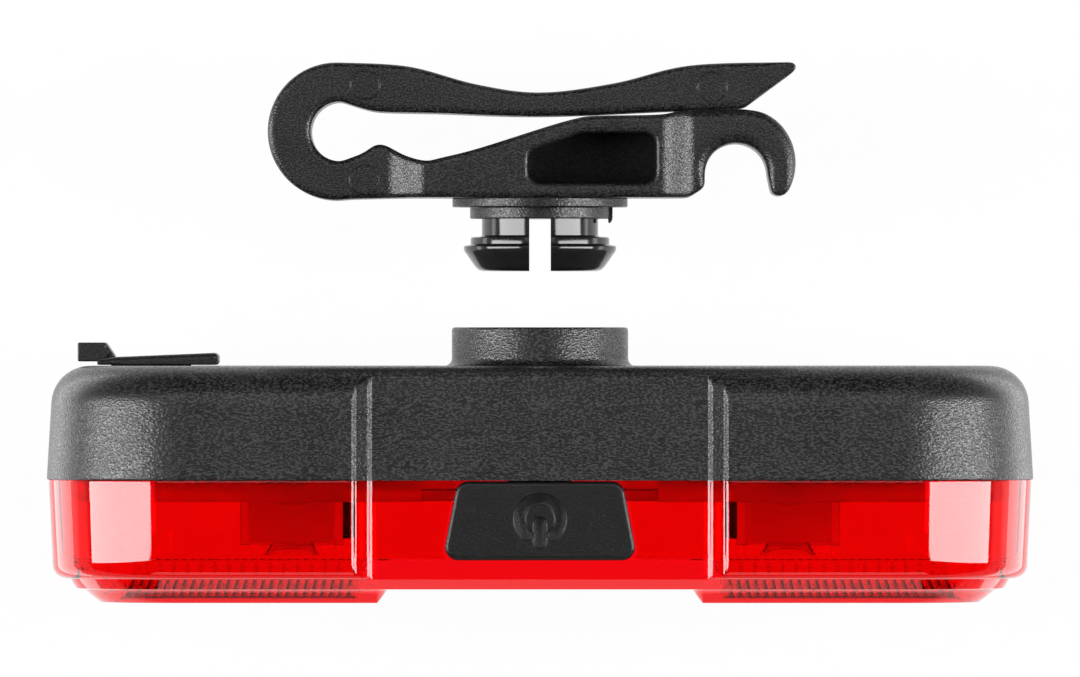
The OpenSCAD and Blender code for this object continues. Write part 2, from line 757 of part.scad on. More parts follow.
// Plan outline of the clip, seen along Y, as a strip between its two edges
module clip_plan() {
  xs = [for (i = [0:6]) -14.3 + i * 3.7 / 6];
  ends = [for (i = [0:4]) 11.5 + i * 2.4 / 4];
  far = light_w / 2;
  edge = concat(
    [[-far, arm_w / 2]], [for (x = xs) [x, clip_half(x)]], [for (x = ends) [x, clip_half(x)]],
    [[far, arm_w / 2]]);
  polygon(concat(edge, [for (i = [len(edge) - 1:-1:0]) [edge[i].x, -edge[i].y]]));
}

// Plug flange, collar and key, from the seat face
module plug_top() {
  along_y(-collar_t) cylinder(d = collar_od, h = collar_t + flange_t);
  along_y(0) cylinder(d = flange_od, h = flange_t);
  translate([collar_od / 2 - 0.8, -collar_t - key_depth, -key_w / 2])
    cube([0.8 + key_out, collar_t + key_depth, key_w]);
}

module clip_base() {
  color(charcoal) translate([0, clip_gap, 0]) {
    difference() {
      intersection() {
        translate([0, 0, -block_w]) linear_extrude(2 * block_w) clip_base_2d();
        along_y(-1) linear_extrude(30) clip_plan();
      }
      for (m = [0, 1]) mirror([0, 0, m]) translate([0, 0, pocket_web / 2])
        linear_extrude(block_w) pocket_2d();
    }
    plug_top();
  }
}

module snap_prongs() {
  y_neck = -collar_t;
  y_head = y_neck - neck_l;
  ring_l = 0.7;
  bulge_l = 0.5;
  color(charcoal) translate([0, clip_gap, 0]) difference() {
    along_y(0) rotate_extrude() polygon(concat(
      [[0, y_neck], [neck_od / 2, y_neck], [neck_od / 2, y_head], [head_ring_od / 2, y_head],
        [head_ring_od / 2, y_head - ring_l], [head_od / 2, y_head - ring_l - 0.1],
        [head_od / 2, y_head - ring_l - 0.1 - bulge_l]],
      arc([head_tip_od / 2 - 0.5, plug_tip + 0.5], 0.5, 0, -90, 3),
      [[0, plug_tip]]));
    translate([-prong_slot / 2, plug_tip - 1, -head_od]) cube([prong_slot, neck_l + head_l + 1, 2 * head_od]);
  }
}

module clip_arm_2d() {
  hole = [-loop_x + hole_shift, loop_y];
  top = smooth([
    [-loop_x, loop_y + loop_or], [-12.3, loop_y + 6.06], [-6, loop_y + 4.4], [0, loop_y + 3.62],
    [7, loop_y + 4.5], [14, loop_y + 6.15], [nose_x - 0.4, loop_y + 6.45]]);
  under = smooth([
    [19.1, pinch_y(19.1)], [12, pinch_y(12)], [0, loop_y + 1.44], [-9.4, loop_y + 1.7],
    [-14.6, loop_y + 1.82], [-16.4, loop_y + 2.1], hole + [0, loop_ir]]);
  polygon(concat(
    arc([-loop_x, loop_y], loop_or, 180, 96, 14), top,
    arc([nose_x - 0.35, loop_y + 6], 0.45, 80, -45, 4), under, arc(hole, loop_ir, 98, 180, 10)));
}

module clip_arm() {
  color(charcoal) translate([0, clip_gap, -arm_w / 2]) linear_extrude(arm_w) clip_arm_2d();
}

rear_housing();
lens();
lens_seal();
inner_bezel();
circuit_board();
board_screws();
led_left();
led_right();
lamp_cup_left();
lamp_cup_right();
collimator_left();
collimator_right();
prism_plate_left();
prism_plate_right();
battery_cell();
battery_pad();
battery_tabs();
usb_socket_shell();
usb_socket_tongue();
tact_switch_body();
controller_chip();
charge_led();
chip_parts();
port_anchor();
power_button();
switch_plunger();
port_cover();
clip_base();
snap_prongs();
clip_arm();
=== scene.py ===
# A clip-on bicycle rear light, seen from above, with its spring clip drawn out of the socket.
# Lengths below are millimetres unless a line says otherwise; meshes are written in metres.
import math

import bmesh
import bpy
from mathutils import Matrix, Vector
from mathutils.geometry import tessellate_polygon


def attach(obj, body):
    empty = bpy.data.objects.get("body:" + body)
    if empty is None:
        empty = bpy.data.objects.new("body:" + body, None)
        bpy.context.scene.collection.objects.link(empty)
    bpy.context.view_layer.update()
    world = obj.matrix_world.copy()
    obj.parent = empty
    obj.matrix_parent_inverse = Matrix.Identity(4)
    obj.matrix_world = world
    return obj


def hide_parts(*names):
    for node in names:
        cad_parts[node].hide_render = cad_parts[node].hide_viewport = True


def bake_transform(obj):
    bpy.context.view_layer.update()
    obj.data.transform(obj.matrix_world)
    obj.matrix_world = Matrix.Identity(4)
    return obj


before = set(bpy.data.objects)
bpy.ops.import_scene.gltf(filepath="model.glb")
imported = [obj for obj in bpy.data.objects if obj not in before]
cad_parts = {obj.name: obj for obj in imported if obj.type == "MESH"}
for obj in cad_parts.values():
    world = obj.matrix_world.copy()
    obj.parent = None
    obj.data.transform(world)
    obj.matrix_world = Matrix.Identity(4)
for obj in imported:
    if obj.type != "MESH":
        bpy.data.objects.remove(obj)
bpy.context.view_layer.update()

# Camera
# A long lens straight above the light, so that its broad side fills the picture
# almost without perspective, as in a catalogue shot. The picture is 1080 by 677.
view_width = 0.10109
camera_height = 1.6
camera = bpy.data.objects.new("camera", bpy.data.cameras.new("camera"))
bpy.context.scene.collection.objects.link(camera)
camera.data.sensor_width = 36
camera.data.lens = 36 * camera_height / view_width
camera.data.clip_end = 10
camera.location = (0, -0.00105, camera_height)
bpy.context.scene.camera = camera
bpy.context.scene.view_settings.view_transform = "Standard"

# Table and light
# A white table top whose tone is a painted pool of light that greys away from the object, two tall strip lights left
# and right that
# draw the long highlights on the rounded ends, low strips that light
# the outermost rims, a weak fill in front of the lens and a soft box over the back.


class Wire:
    """A shader socket that takes part in arithmetic."""

    def __init__(self, socket):
        self.socket = socket

    def maths(self, operation, other=0.0, swapped=False):
        tree = self.socket.id_data
        made = tree.nodes.new("ShaderNodeMath")
        made.operation = operation
        for slot, value in zip(made.inputs, (other, self) if swapped else (self, other)):
            if isinstance(value, Wire):
                tree.links.new(value.socket, slot)
            else:
                slot.default_value = value
        return Wire(made.outputs[0])

    def __add__(self, other):
        return self.maths("ADD", other)

    def __sub__(self, other):
        return self.maths("SUBTRACT", other)

    def __rsub__(self, other):
        return self.maths("SUBTRACT", other, True)

    def __mul__(self, other):
        return self.maths("MULTIPLY", other)

    def __truediv__(self, other):
        return self.maths("DIVIDE", other)

    def over(self, other):
        return self.maths("GREATER_THAN", other)

    __radd__ = __add__
    __rmul__ = __mul__


class Finish:
    """A material under construction: its tree, and one way to add a node to it."""

    def __init__(self, name, tree=None):
        self.material = None
        if tree is None:
            self.material = bpy.data.materials.new(name)
            self.material.use_nodes = True
            tree = self.material.node_tree
        self.tree = tree
        self.tree.nodes.clear()

    def node(self, kind, settings=(), values=(), out=0):
        made = self.tree.nodes.new(kind)
        for key, value in dict(settings).items():
            if key == "stops":
                ramp = made.color_ramp
                while len(ramp.elements) < len(value):
                    ramp.elements.new(0.5)
                for element, (place, shade) in zip(ramp.elements, value):
                    element.position = place
                    element.color = shade
            else:
                setattr(made, key, value)
        for key, value in dict(values).items():
            if isinstance(value, Wire):
                self.tree.links.new(value.socket, made.inputs[key])
            else:
                made.inputs[key].default_value = value
        return Wire(made.outputs[out])

    def surface(self, shader, output="ShaderNodeOutputMaterial"):
        end = self.tree.nodes.new(output)
        self.tree.links.new(shader.socket, end.inputs["Surface"])
        return self.material

    def mix(self, factor, first, second):
        return self.node("ShaderNodeMix", {"data_type": "RGBA"}, {0: factor, 6: first, 7: second}, 2)

    def place(self):
        return self.node("ShaderNodeTexCoord", out="Object")

    def noise(self, grain, detail=2.0, rough=0.5, where=None):
        return self.node("ShaderNodeTexNoise", (), {
            "Vector": where or self.place(), "Scale": 1000 / grain, "Detail": detail, "Roughness": rough})

    def limits(self, value, low, high, to_low=0.0, to_high=1.0):
        return self.node("ShaderNodeMapRange", {"interpolation_type": "SMOOTHSTEP"}, {
            "Value": value, "From Min": low, "From Max": high, "To Min": to_low, "To Max": to_high})


def table_finish(near, far, reach, fade):
    f = Finish("table_white")
    sheet = f.node("ShaderNodeMapping", {"vector_type": "POINT"}, {"Vector": f.place(), "Scale": (0.5, 1, 1)})
    spread = f.node("ShaderNodeVectorMath", {"operation": "LENGTH"}, {0: sheet}, "Value")
    # Painted pool of light: the table's tone is white near the object and greys away from it.
    tone = f.limits(spread, reach, fade, near, far)
    paper = f.noise(2.5, 3)
    tone = tone * f.limits(paper, 0.3, 0.7, 0.996, 1.0)
    shade = f.node("ShaderNodeCombineColor", (), {0: tone, 1: tone, 2: tone})
    rays = f.node("ShaderNodeLightPath", out="Is Camera Ray")
    rays = rays + f.node("ShaderNodeLightPath", out="Is Glossy Ray")
    rays = rays + f.node("ShaderNodeLightPath", out="Is Transmission Ray")
    seen = f.node("ShaderNodeEmission", (), {"Color": shade, "Strength": 1.0})
    lit = f.node("ShaderNodeBsdfPrincipled", (), {"Base Color": shade, "Roughness": 0.9})
    factor = rays.maths("MINIMUM", 1.0) * 0.96
    return f.surface(f.node("ShaderNodeMixShader", (), {0: factor, 1: lit, 2: seen}))


table_z = -19.3
table = bpy.data.objects.new("table", bpy.data.meshes.new("table"))
bpy.context.scene.collection.objects.link(table)
shape = bmesh.new()
bmesh.ops.create_circle(shape, cap_ends=True, segments=64, radius=1.5)
bmesh.ops.translate(shape, vec=(0, 0, table_z / 1000), verts=shape.verts)
shape.to_mesh(table.data)
shape.free()
table.data.materials.append(table_finish(1.0, 0.38, 0.074, 0.11))


def soft_box(name, place, aim, wide, tall, watts):
    lamp = bpy.data.objects.new(name, bpy.data.lights.new(name, "AREA"))
    bpy.context.scene.collection.objects.link(lamp)
    lamp.data.shape = "RECTANGLE"
    lamp.data.size = wide
    lamp.data.size_y = tall
    lamp.data.energy = watts
    lamp.visible_camera = False
    lamp.location = place
    lamp.rotation_euler = (Vector(aim) - Vector(place)).to_track_quat("-Z", "Y").to_euler()


soft_box("strip_left", (-0.515, 0.0, 0.31), (0, 0, 0), 0.18, 0.64, 4.4)
soft_box("strip_right", (0.515, 0.0, 0.31), (0, 0, 0), 0.18, 0.64, 4.4)
soft_box("front_fill", (0.0, -0.7, 0.3), (0, 0, 0), 0.6, 0.3, 0.6)
soft_box("low_left", (-0.092, 0.0, -0.0185), (-0.092, 0, 1), 0.056, 0.13, 0.05)
soft_box("low_right", (0.092, 0.0, -0.0185), (0.092, 0, 1), 0.056, 0.13, 0.05)
soft_box("overhead", (0.0, 0.34, 0.9), (0, 0, 0), 0.9, 0.5, 1.3)

studio = bpy.data.worlds.new("studio")
bpy.context.scene.world = studio
studio.use_nodes = True
sky = Finish("studio", studio.node_tree)
up = sky.node("ShaderNodeSeparateXYZ", (), {0: sky.node("ShaderNodeTexCoord", out="Generated")}, "Z")
tone = sky.limits(up, 0.0, 0.1, 0.12, 0.02)
grey = sky.node("ShaderNodeCombineColor", (), {0: tone, 1: tone, 2: tone})
sky.surface(sky.node("ShaderNodeBackground", (), {"Color": grey, "Strength": 1.0}), "ShaderNodeOutputWorld")

# Rear housing
# The charcoal back shell, injection moulded in glass-filled nylon with a fine spark grain.
# Its waist is set in on both broad sides, and a round boss on the back holds the snap socket.
light_half_w, light_half_h, corner_r = 46.0, 19.0, 13.0
seam_y, back_y = -14.2, -3.6
housing_draft = math.tan(math.radians(3.4))
back_round = 3.6
waist_half, waist_side, waist_depth = 15.6, 1.8, 1.0


def finish_mesh(name, shape, material, sharp=32, merge=0.0):
    """Turn a bmesh in millimetres into an object in metres with smooth, outward faces."""
    if merge:
        bmesh.ops.remove_doubles(shape, verts=shape.verts, dist=merge)
    bmesh.ops.recalc_face_normals(shape, faces=shape.faces)
    bmesh.ops.scale(shape, vec=(0.001,) * 3, verts=shape.verts)
    made = bpy.data.objects.new(name, bpy.data.meshes.new(name))
    bpy.context.scene.collection.objects.link(made)
    shape.to_mesh(made.data)
    shape.free()
    made.data.materials.append(material)
    made.data.shade_smooth()
    made.data.set_sharp_from_angle(angle=math.radians(sharp))
    return made


def shell_stations(short_steps):
    """Places round a rounded rectangle: share of the straight stretches, then outward direction."""
    half = 33.0
    columns = {round(-half + 66 * k / 52, 3) for k in range(1, 52)}
    for low, high, step in ((13.9, 15.4, 0.2), (15.5, 16.0, 0.06), (16.1, 16.9, 0.2), (16.96, 17.5, 0.06)):
        for k in range(int((high - low) / step + 1)):
            columns |= {round(low + k * step, 3), round(-low - k * step, 3)}
    columns = sorted(columns)
    around = []
    for turn, (sx, sz) in enumerate(((1, 1), (-1, 1), (-1, -1), (1, -1))):
        for k in range(17):
            a = math.radians(90 * turn + 90 * k / 16)
            around.append((sx, sz, math.cos(a), math.sin(a)))
        if turn == 0:
            around += [(x / half, 1, 0, 1) for x in reversed(columns)]
        elif turn == 2:
            around += [(x / half, -1, 0, -1) for x in columns]
        else:
            s = 1 if turn == 1 else -1
            around += [(-s, s * (1 - 2 * k / short_steps), -s, 0) for k in range(1, short_steps)]
    return around


def shell_ring(around, w, h, r, inset, y):
    p = r - inset
    return [Vector((sx * (w - r) + p * c, y, sz * (h - r) + p * s)) for sx, sz, c, s in around]


def skin(shape, rings):
    """Quads between one ring of points and the next; returns the rings as vertices."""
    made = [[shape.verts.new(p) for p in ring] for ring in rings]
    for low, high in zip(made, made[1:]):
        for k in range(len(low)):
            j = (k + 1) % len(low)
            shape.faces.new((low[k], low[j], high[j], high[k]))
    return made


def ramp(x, a, b):
    return min(max((x - a) / (b - a), 0), 1)


def ease(x, a, b):
    t = ramp(x, a, b)
    return t * t * (3 - 2 * t)


def soft_least(a, b, soft):
    h = max(soft - abs(a - b), 0) / soft
    return min(a, b) - h * h * soft / 4


def set_in_waist(ring, half_h, draft, seam):
    """Press the points of the two broad sides down to the waist's floor and slanted ends."""
    for p in ring:
        share = (abs(p.x) - waist_half) / waist_side
        rise = 0.37 * ramp(share, -0.03, 0.19) + 0.26 * ramp(share, 0.08, 0.91)
        rise += 0.37 * ramp(share, 0.8, 1.02) + max(share - 1.02, 0)
        floor = half_h - waist_depth + waist_depth * rise - abs(p.y - seam) * draft
        if abs(p.z) > 10 and abs(p.x) < waist_half + 2.6 * waist_side:
            p.z = math.copysign(soft_least(abs(p.z), floor, 0.06), p.z)
    return ring


def edge_round(draft, depth, r, steps):
    """Inset and height along a drafted side's end round."""
    lean = math.atan(draft)
    out = []
    for k in range(steps + 1):
        a = lean + (math.pi / 2 - lean) * k / steps
        out.append((draft * (depth - r) + r / math.cos(lean) - r * math.cos(a), depth - r + r * math.sin(a)))
    return out


def disc_ring(around, r, y):
    """A circle whose points lie on the same bearings as the shell's stations."""
    flat = shell_ring(around, 42, 15, 9, 0, y)
    return [Vector((p.x, 0, p.z)).normalized() * r + Vector((0, y, 0)) for p in flat]


around = shell_stations(8)
depth = back_y - seam_y
cavity = [shell_ring(around, 44.2, 16.2, 11.2, i, seam_y + d) for i, d in
          ((0, 0.0), (0, 1.4), (0.4, 5.0), (0.8, 7.4), (1.6, 8.6), (2.6, 8.8))]
inner = [disc_ring(around, 1.0, -7.45), disc_ring(around, 8.65, -7.45), disc_ring(around, 8.65, -5.4)] + cavity[::-1]
outer = [shell_ring(around, light_half_w, light_half_h, corner_r, i, seam_y + d) for i, d in
         [(0.14, 0.0), (0.045, 0.04), (0.01, 0.12)] + [(housing_draft * d, d) for d in (0.3, 1, 2.2, 3.6, 5, 6, 6.6)]
         + edge_round(housing_draft, depth, back_round, 14)]
outer = [set_in_waist(ring, light_half_h, housing_draft, seam_y) for ring in outer]
rim = outer[-1]
boss_foot = disc_ring(around, 8.95, back_y)
flat = [[a.lerp(b, t) for a, b in zip(rim, boss_foot)] for t in (0.06, 0.35, 0.7)]
boss = [(8.95, -3.6), (8.68, -3.55), (8.45, -3.4), (8.3, -3.17), (8.25, -2.9), (8.25, -0.32), (8.21, -0.13), (8.1, -0.03),
        (7.95, 0.0), (6.85, 0.0), (6.75, -0.03), (6.7, -0.1), (6.7, -1.15), (5.75, -1.15), (5.7, -1.2),
        (5.7, -2.65), (7.45, -2.65), (7.45, -6.25), (1.0, -6.25)]
shape = bmesh.new()
made = skin(shape, inner + outer + flat + [disc_ring(around, r, y) for r, y in boss])
shape.faces.new(made[0])
shape.faces.new(made[-1])


def moulded_grain(f, size, stretch):
    """Height of a spark-eroded mould grain: ripples drawn out along X, with finer pits between them."""
    along = f.node("ShaderNodeMapping", {"vector_type": "POINT"}, {"Vector": f.place(), "Scale": (stretch, 1, 1)})
    return f.noise(size, 0.0, 0.5, along) * 0.75 + f.noise(size * 0.5, 0.0, 0.5, along) * 0.25


def moulded_finish(name, colour, rough, grain, depth, stretch, marks=None, shade=None, fade=None):
    """Moulded black plastic: grain in the bump, high spots polished and painted paler as painted glints, faint
    clouding of the tone.
    """
    f = Finish(name)
    height = moulded_grain(f, grain, stretch)
    cloud = f.limits(f.noise(6.0, 2), 0.3, 0.7)
    speck = f.limits(height, 0.42, 0.63)
    dark = [c * 0.04 for c in colour] + [1]
    # The grain's high spots are painted up to five times paler than the plastic: painted glints.
    glint_pale = [c * 5.0 for c in colour] + [1]
    base = f.mix(cloud * 0.12 + speck * 0.88, dark, glint_pale)
    sheen = f.limits(speck, 0.0, 1.0, rough + 0.1, rough - 0.06)
    # Where a shade mask is given, the base colour goes near black there as painted shade, and the roughness rises.
    if shade:
        painted_shade = shade(f)
        base = f.mix(painted_shade, base, [0.0005, 0.0005, 0.0005, 1])
        sheen = sheen + painted_shade * 0.6
    if fade:
        height = height * fade(f)
    if marks:
        height = height + marks(f)
    bump = f.node("ShaderNodeBump", (), {"Height": height, "Distance": depth / 1000, "Strength": 1.0})
    return f.surface(f.node("ShaderNodeBsdfPrincipled", (), {
        "Base Color": base, "Roughness": sheen, "Normal": bump}))


def back_fade(f):
    """The mould's grain runs out on the round of the back edge."""
    y = f.node("ShaderNodeSeparateXYZ", (), {0: f.place()}, "Y")
    return f.limits((y + 0.0051).maths("ABSOLUTE"), 0.0012, 0.0025, 0.4, 1.0)


housing_grey = moulded_finish("housing_grain", (0.0085, 0.0085, 0.0087), 0.27, 0.17, 0.055, 0.6, fade=back_fade)
housing = finish_mesh("housing_shell", shape, housing_grey, 30)


def slab(low, high):
    """A plain cutting block between two corners, in millimetres."""
    made = bmesh.ops.create_cube(cuts, size=1.0)["verts"]
    low, high = Vector(low), Vector(high)
    for v in made:
        v.co = Vector((v.co[k] * (high[k] - low[k]) + (high[k] + low[k]) / 2 for k in range(3)))
    return made


def cut_away(piece, tool, operation="DIFFERENCE"):
    """Take the tool bmesh (millimetres) out of a piece and keep the result as its mesh."""
    bmesh.ops.recalc_face_normals(tool, faces=tool.faces)
    bmesh.ops.scale(tool, vec=(0.001,) * 3, verts=tool.verts)
    knife = bpy.data.objects.new("knife", bpy.data.meshes.new("knife"))
    bpy.context.scene.collection.objects.link(knife)
    tool.to_mesh(knife.data)
    tool.free()
    step = piece.modifiers.new("cut", "BOOLEAN")
    step.object = knife
    step.operation = operation
    step.solver = "EXACT"
    done = bpy.data.meshes.new_from_object(piece.evaluated_get(bpy.context.evaluated_depsgraph_get()))
    piece.modifiers.remove(step)
    piece.data = done
    bpy.data.objects.remove(knife)
    done.shade_smooth()
    done.set_sharp_from_angle(angle=math.radians(30))


cuts = bmesh.new()
slab((-40.5, -9.0, -1.6), (-32.3, -3.0, 1.6))
slab((-31.1, -7.0, -3.5), (-29.9, -3.0, 3.5))
for turn in range(4):
    block = slab((6.3, -1.68, -0.95), (6.95, 0.5, 0.95))
    bmesh.ops.rotate(cuts, verts=block, matrix=Matrix.Rotation(turn * math.pi / 2, 3, "Y"))
cut_away(housing, cuts)
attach(housing, "light")
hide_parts("rear_housing")

# Charging flap
# A soft black rubber cover moulded with its finger tab and plug, held by a strip pushed through
# the back wall. It lies flat over the charging socket and swings up on its fixed end.


def even_outline(points, step, passes=0):
    """Points at even steps along a closed clockwise line, its corners eased by a few passes."""
    points = [Vector(p) for p in points]
    area = sum(a.x * b.y - b.x * a.y for a, b in zip(points, points[1:] + points[:1]))
    if area > 0:
        points.reverse()
    runs = [(b - a).length for a, b in zip(points, points[1:] + points[:1])]
    count = max(int(sum(runs) / step), 8)
    out, k, done = [], 0, 0.0
    for i in range(count):
        along = sum(runs) * i / count
        while along > done + runs[k]:
            done += runs[k]
            k += 1
        out.append(points[k].lerp(points[(k + 1) % len(points)], (along - done) / runs[k]))
    for _ in range(passes):
        out = [(a + 2 * b + c) / 4 for a, b, c in zip(out[-1:] + out, out, out[1:] + out[:1])]
    return out


def inset_outline(outline, amounts):
    """The closed line moved inwards (to the right of its run) by an amount for each point."""
    out = []
    for a, b, c, amount in zip(outline[-1:] + outline, outline, outline[1:] + outline[:1], amounts):
        along = (c - a).normalized()
        out.append(b + Vector((along.y, -along.x)) * amount)
    return out


def rounded_slab(shape, outline, top, low, r, top_wells=(), low_wells=(), folds=()):
    """A slab between two heights over an outline, its rims rounded, with wells sunk in its ends.
    A well is an outline, the height of its floor and the round of its rim."""
    size = [r(p) if callable(r) else r for p in outline]
    arcs = [math.radians(a) for a in (0, 18, 36, 54, 72, 90)]
    ends = []
    for end, side, wells in ((top, 1, top_wells), (low, -1, low_wells)):
        rings = []
        for pull, drop in [(0, -1.25)] + [(1 - math.cos(a), math.sin(a) - 1) for a in arcs] + [(1.3, 0)]:
            line = inset_outline(outline, [pull * s for s in size])
            rings.append([Vector((p.x, p.y, end(p) + side * drop * s)) for p, s in zip(line, size)])
        made = skin(shape, rings)
        ends.append(made[0])
        loops = [made[-1]]
        for well, floor, rim in wells:
            sunk = []
            for pull, drop in [(-1.3, 0)] + [(math.sin(a) - 1, math.cos(a) - 1) for a in arcs]:
                line = inset_outline(well, [pull * rim] * len(well))
                sunk.append([Vector((p.x, p.y, end(p) + side * drop * rim)) for p in line])
            for pull, lift in ((0, 0.5), (0.15, 0.15), (0.5, 0)):
                line = inset_outline(well, [pull * rim] * len(well))
                sunk.append([Vector((p.x, p.y, floor(p) + side * lift * rim)) for p in line])
            dug = skin(shape, sunk)
            loops.append(dug[0])
            shape.faces.new(dug[-1])
        every = [v for loop in loops for v in loop]
        fill = [shape.faces.new([every[k] for k in three]) for three in tessellate_polygon(
            [[Vector((v.co.x, v.co.y, 0)) for v in loop] for loop in loops])]
        for x in folds:
            part = fill + list({e for f in fill for e in f.edges}) + list({v for f in fill for v in f.verts})
            part = bmesh.ops.bisect_plane(shape, geom=part, plane_co=(x, 0, 0), plane_no=(1, 0, 0))["geom"]
            fill = [g for g in part if isinstance(g, bmesh.types.BMFace)]
        for v in {v for f in fill for v in f.verts}:
            v.co.z = end(v.co)
    for k in range(len(outline)):
        j = (k + 1) % len(outline)
        shape.faces.new((ends[0][k], ends[0][j], ends[1][j], ends[1][k]))


flap_plate = even_outline([(-41.35, -3.52), (-30.2, -3.52), (-30.05, -3.3), (-30.05, -2.62), (-30.35, -2.38),
                           (-39.9, -2.78), (-41.35, -3.05)], 0.12, 2)
flap_tab = even_outline([(-43.2, -3.2), (-43.2, -1.42), (-40.6, -1.42), (-39.7, -2.72), (-40.0, -3.0),
                         (-41.4, -3.2)], 0.12, 2)
flap_plug = even_outline([(-40.15, -5.15), (-40.15, -3.3), (-32.65, -3.3), (-32.65, -5.15)], 0.25, 2)
shape = bmesh.new()
rounded_slab(shape, flap_plate, lambda p: 4.5, lambda p: -4.5, lambda p: 0.12 + 0.36 * ease(p.y, -3.2, -2.85))
rounded_slab(shape, flap_tab, lambda p: 3.0, lambda p: -3.0, lambda p: 0.12 + 0.3 * ease(p.x, -40.9, -40.2))
rounded_slab(shape, flap_plug, lambda p: 1.25, lambda p: -1.25, 0.2)
flap_rubber = moulded_finish("flap_rubber", (0.005, 0.005, 0.0052), 0.34, 0.16, 0.03, 0.8)
flap = finish_mesh("charging_flap", shape, flap_rubber, 40)
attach(flap, "flap")
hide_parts("port_cover")
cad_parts["port_anchor"].data.materials.clear()
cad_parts["port_anchor"].data.materials.append(flap_rubber)

# Lens
# The red front cover, polished acrylic about 1.8 thick: a drafted tub with two raised lobes and a
# shallow channel between them. Its tongue sits in the housing's rabbet on the seal.
lens_half_w, lens_half_h, lens_corner = 45.85, 18.85, 12.85
lens_draft = math.tan(math.radians(2.8))
lens_deep, shoulder_round = 9.2, 1.3
lobe_foot, lobe_slope, lobe_high = 2.05, 2.8, 2.2
lobe_inner, lobe_end, channel_high = 14.1, 1.0, 0.9


def lens_front(ring, inset, ledge, rim_start, run, high, middle, inner, end):
    """Raise the points of a front ring into the two lobes and the channel between them."""
    for p in ring:
        rim = min(max((inset - rim_start) / run, 0), 1)
        low = min(max(inset - rim_start, 0) / 0.5 * middle, middle) if middle else 0
        share = min(max((abs(p.x) - inner) / end, 0), 1)
        p.y = ledge - (low + (max(high * rim, low) - low) * share)
    return ring


around = shell_stations(1)
outer = [shell_ring(around, lens_half_w, lens_half_h, lens_corner, i, seam_y - d) for i, d in
         [(0.12, 0.0), (0.03, 0.03), (0.01, 0.12)] + [(lens_draft * d, d) for d in (0.4, 1.6, 3.2, 4.8, 6.4, 7.4)]
         + edge_round(lens_draft, lens_deep, shoulder_round, 10)]
outer = [set_in_waist(ring, lens_half_h, lens_draft, seam_y) for ring in outer]
shoulder_y = seam_y - lens_deep
for inset in (1.9, 2.05, 2.12, 2.3, 2.6, 2.9, 3.4, 3.9, 4.4, 4.78, 4.88, 5.2, 8.0, 11.2):
    ring = shell_ring(around, lens_half_w, lens_half_h, lens_corner, inset, shoulder_y)
    outer.append(lens_front(ring, inset, shoulder_y, lobe_foot, lobe_slope, lobe_high, channel_high, lobe_inner, lobe_end))
tongue = [shell_ring(around, 44.2, 16.2, 11.2, i, seam_y + d) for i, d in ((0.0, 1.0), (-0.7, 1.0), (-0.7, 0.0))]
inner = [shell_ring(around, 44.2, 16.2, 11.2, lens_draft * d, seam_y - d) for d in (0, 2.4, 4.8, 6.9)]
inner += [shell_ring(around, 44.2, 16.2, 11.2, 0.34 + i, seam_y - d) for i, d in ((0.15, 7.26), (0.5, 7.4))]
lining_y = seam_y - 7.4
for inset in (0.9, 1.2, 1.6, 2.2, 3.0, 3.8, 4.6, 5.0, 5.12, 5.4, 7.4, 9.6):
    ring = shell_ring(around, 44.2, 16.2, 11.2, inset, lining_y)
    inner.append(lens_front(ring, inset, lining_y, 0.7, 4.3, 3.4, 0.0, 15.9, 1.0))
shape = bmesh.new()
made = skin(shape, inner[::-1] + tongue + outer)
for ring in (made[0], made[-1]):
    for k in range(len(ring) // 2 - 1):
        shape.faces.new((ring[k], ring[k + 1], ring[-2 - k], ring[-1 - k]))


def lens_finish(name, colour, rough, ior=1.49, gloss=0.0, clear=1.0):
    """Polished transparent acrylic, with the faint waviness of a moulding and a few swirl marks."""
    f = Finish(name)
    wave = f.noise(7.0, 1.0)
    fine = f.noise(0.5, 2.0)
    tint = f.mix(f.limits(wave, 0.3, 0.7), [c * 0.97 for c in colour] + [1], list(colour) + [1])
    bump = f.node("ShaderNodeBump", (), {"Height": wave, "Distance": 0.00004, "Strength": 0.6})
    return f.surface(f.node("ShaderNodeBsdfPrincipled", (), {
        "Base Color": tint, "Roughness": f.limits(fine, 0.3, 0.8, rough, rough + 0.03), "IOR": ior,
        "Transmission Weight": clear, "Coat Weight": gloss, "Coat IOR": 1.5, "Coat Roughness": 0.02, "Normal": bump}))


lens_red = lens_finish("lens_red", (0.98, 0.0025, 0.006), 0.012, 1.05, 1.0)
lens = finish_mesh("lens_cover", shape, lens_red, 28)
button_line = [(-7.65, -14.3), (7.65, -14.3), (9.05, -21.6), (-9.05, -21.6)]


def rounded_corners(points, r, steps=6):
    """A closed line whose corners are replaced by arcs."""
    points = [Vector(p) for p in points]
    out = []
    for a, b, c in zip(points[-1:] + points, points, points[1:] + points[:1]):
        back, ahead = (a - b).normalized(), (c - b).normalized()
        half = back.angle(ahead) / 2
        reach = r / math.tan(half)
        centre = b + (back + ahead).normalized() * (r / math.sin(half))
        first, last = b + back * reach - centre, b + ahead * reach - centre
        for k in range(steps + 1):
            out.append(centre + first.lerp(last, k / steps).normalized() * r)
    return out


cuts = bmesh.new()
notch = rounded_corners([(-7.85, -12.0), (7.85, -12.0), (7.9, -14.3), (9.29, -21.8), (-9.29, -21.8), (-7.9, -14.3)], 1.2)
bottom = [cuts.verts.new((p.x, p.y, 8.0)) for p in notch]
top = [cuts.verts.new((p.x, p.y, 22.0)) for p in notch]
cuts.faces.new(bottom)
cuts.faces.new(top)
for k in range(len(notch)):
    j = (k + 1) % len(notch)
    cuts.faces.new((bottom[k], bottom[j], top[j], top[k]))
cut_away(lens, cuts)
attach(lens, "light")
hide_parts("lens")

# Power button
# A black rubber key set in the lens at the seam, its face blasted in the mould, with the usual
# power sign sunk in it. It stands a little proud of the waist and presses a small switch.
button_top = 18.2


